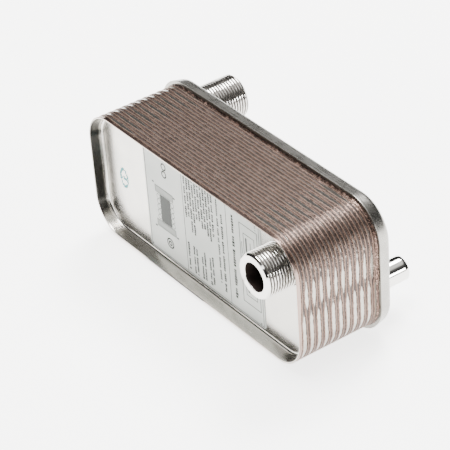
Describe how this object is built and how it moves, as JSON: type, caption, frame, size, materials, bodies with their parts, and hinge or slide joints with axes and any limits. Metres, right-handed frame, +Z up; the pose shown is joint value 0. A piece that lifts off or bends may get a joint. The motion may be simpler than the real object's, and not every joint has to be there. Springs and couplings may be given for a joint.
{
  "type": "plate heat exchanger",
  "caption": "Compact brazed plate heat exchanger: nested pressed steel trays joined with copper, threaded water nipples and plain solder ports.",
  "frame": {"origin": "on the floor, below the middle of the whole exchanger as it lies on one long side", "axes": "+X along the plates to the end with the front nipple, -Y out of the recessed label side, +Y out of the rear ports, +Z up across the plates"},
  "size_m": [0.1992, 0.1028, 0.0852],
  "materials": {
    "cover_steel": "bright rolled stainless sheet, lightly scuffed",
    "pressed_plate": "thin pressed stainless sheet, heat-tinted and wetted with copper at its edges",
    "copper_braze": "matt copper, grainy where it froze in the seams",
    "port_steel": "turned stainless, polished by the cut",
    "label_film": "silver-grey printed film, satin",
    "stamp_ink": "thin teal ink"
  },
  "bodies": {
    "root": {"front_cover": "cover_steel", "rear_cover": "cover_steel", "channel_plate_01": "pressed_plate", "channel_plate_02": "pressed_plate", "channel_plate_03": "pressed_plate", "channel_plate_04": "pressed_plate", "channel_plate_05": "pressed_plate", "channel_plate_06": "pressed_plate", "channel_plate_07": "pressed_plate", "channel_plate_08": "pressed_plate", "channel_plate_09": "pressed_plate", "channel_plate_10": "pressed_plate", "channel_plate_11": "pressed_plate", "channel_plate_12": "pressed_plate", "channel_plate_13": "pressed_plate", "channel_plate_14": "pressed_plate", "channel_plate_15": "pressed_plate", "channel_plate_16": "pressed_plate", "channel_plate_17": "pressed_plate", "channel_plate_18": "pressed_plate", "channel_plate_19": "pressed_plate", "channel_plate_20": "pressed_plate", "channel_plate_21": "pressed_plate", "copper_braze_01": "copper_braze", "copper_braze_02": "copper_braze", "copper_braze_03": "copper_braze", "copper_braze_04": "copper_braze", "copper_braze_05": "copper_braze", "copper_braze_06": "copper_braze", "copper_braze_07": "copper_braze", "copper_braze_08": "copper_braze", "copper_braze_09": "copper_braze", "copper_braze_10": "copper_braze", "copper_braze_11": "copper_braze", "copper_braze_12": "copper_braze", "copper_braze_13": "copper_braze", "copper_braze_14": "copper_braze", "copper_braze_15": "copper_braze", "copper_braze_16": "copper_braze", "copper_braze_17": "copper_braze", "copper_braze_18": "copper_braze", "copper_braze_19": "copper_braze", "copper_braze_20": "copper_braze", "copper_braze_21": "copper_braze", "copper_braze_22": "copper_braze", "threaded_port_front": "port_steel", "threaded_port_rear": "port_steel", "solder_port_right": "port_steel", "solder_port_left": "port_steel", "port_braze_front": "copper_braze", "port_braze_rear": "copper_braze", "port_braze_right": "copper_braze", "port_braze_left": "copper_braze", "data_label": "label_film", "inspection_stamp": "stamp_ink"}
  },
  "joints": []
}
